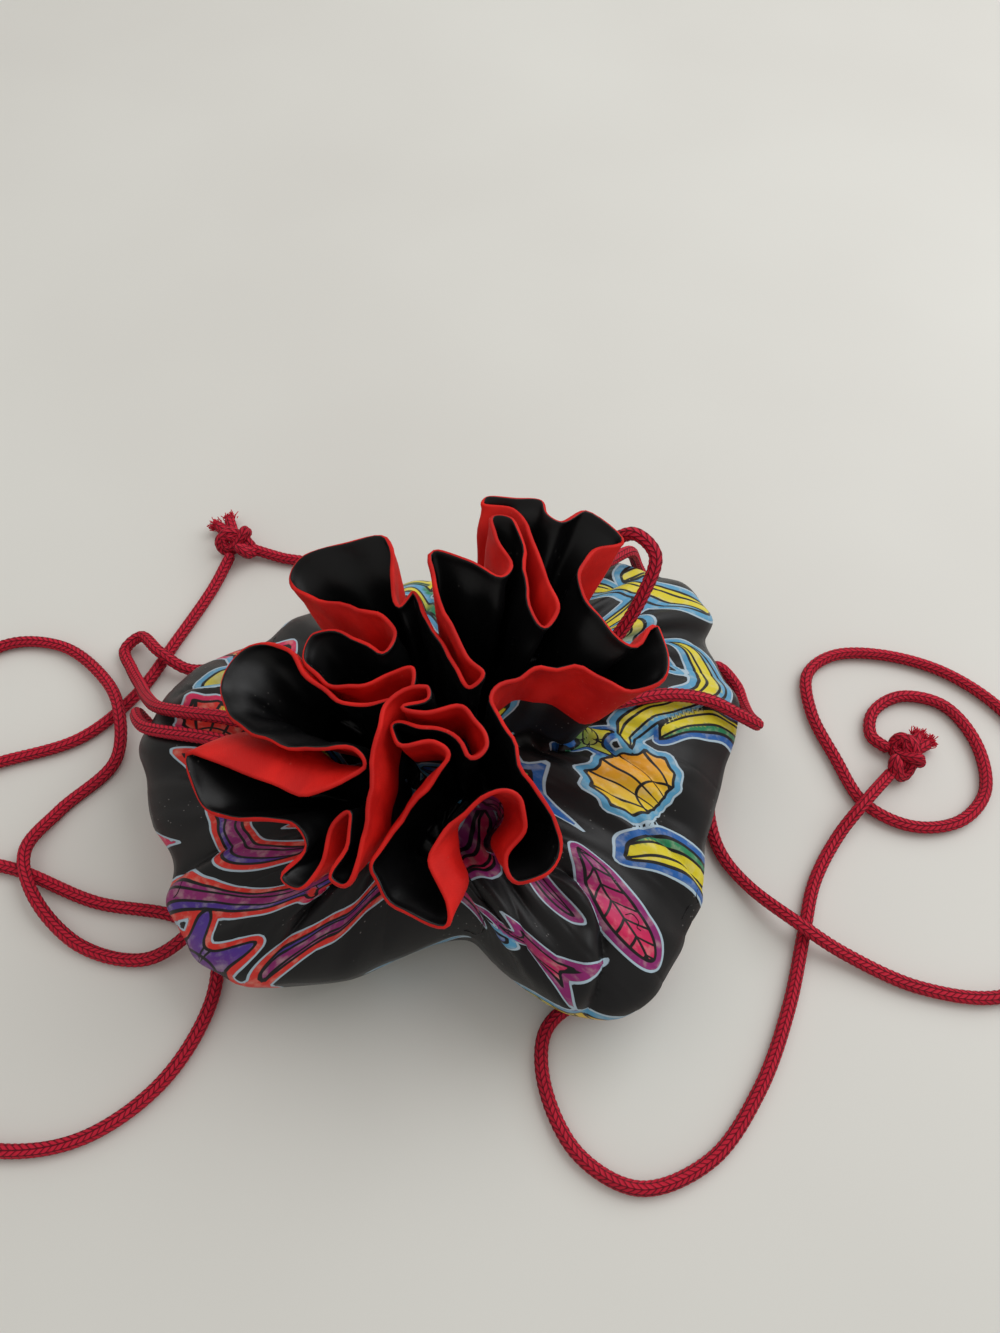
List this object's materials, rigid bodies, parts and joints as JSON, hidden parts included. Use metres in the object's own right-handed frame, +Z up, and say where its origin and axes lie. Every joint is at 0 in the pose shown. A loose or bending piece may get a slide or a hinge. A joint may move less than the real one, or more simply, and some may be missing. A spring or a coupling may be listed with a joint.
{
  "type": "kinchaku drawstring pouch",
  "caption": "Round cloth pouch drawn shut by cords in a channel below its edge, with a deep ruffle, a lobed soft body and knotted cord ends lying beside it.",
  "frame": {"origin": "middle of the flat foot, at the centre of the bag's plan box, on the surface it stands on", "axes": "+Z up, +X to the right cord exit along the bag's long side, +Y to the back"},
  "size_m": [0.445, 0.2676, 0.1081],
  "materials": {
    "printed_cloth": "smooth woven polyester, near black with a bright print",
    "red_cloth": "plain woven red polyester",
    "lining_cloth": "black satin lining",
    "cord": "knitted crimson cord"
  },
  "bodies": {
    "root": {"outer_cloth": "printed_cloth", "red_band": "red_cloth", "lining": "lining_cloth", "drawcord_left_short": "cord", "drawcord_left_long": "cord", "drawcord_right_short": "cord", "drawcord_right_long": "cord", "knot_left": "cord", "knot_right": "cord"}
  },
  "joints": []
}
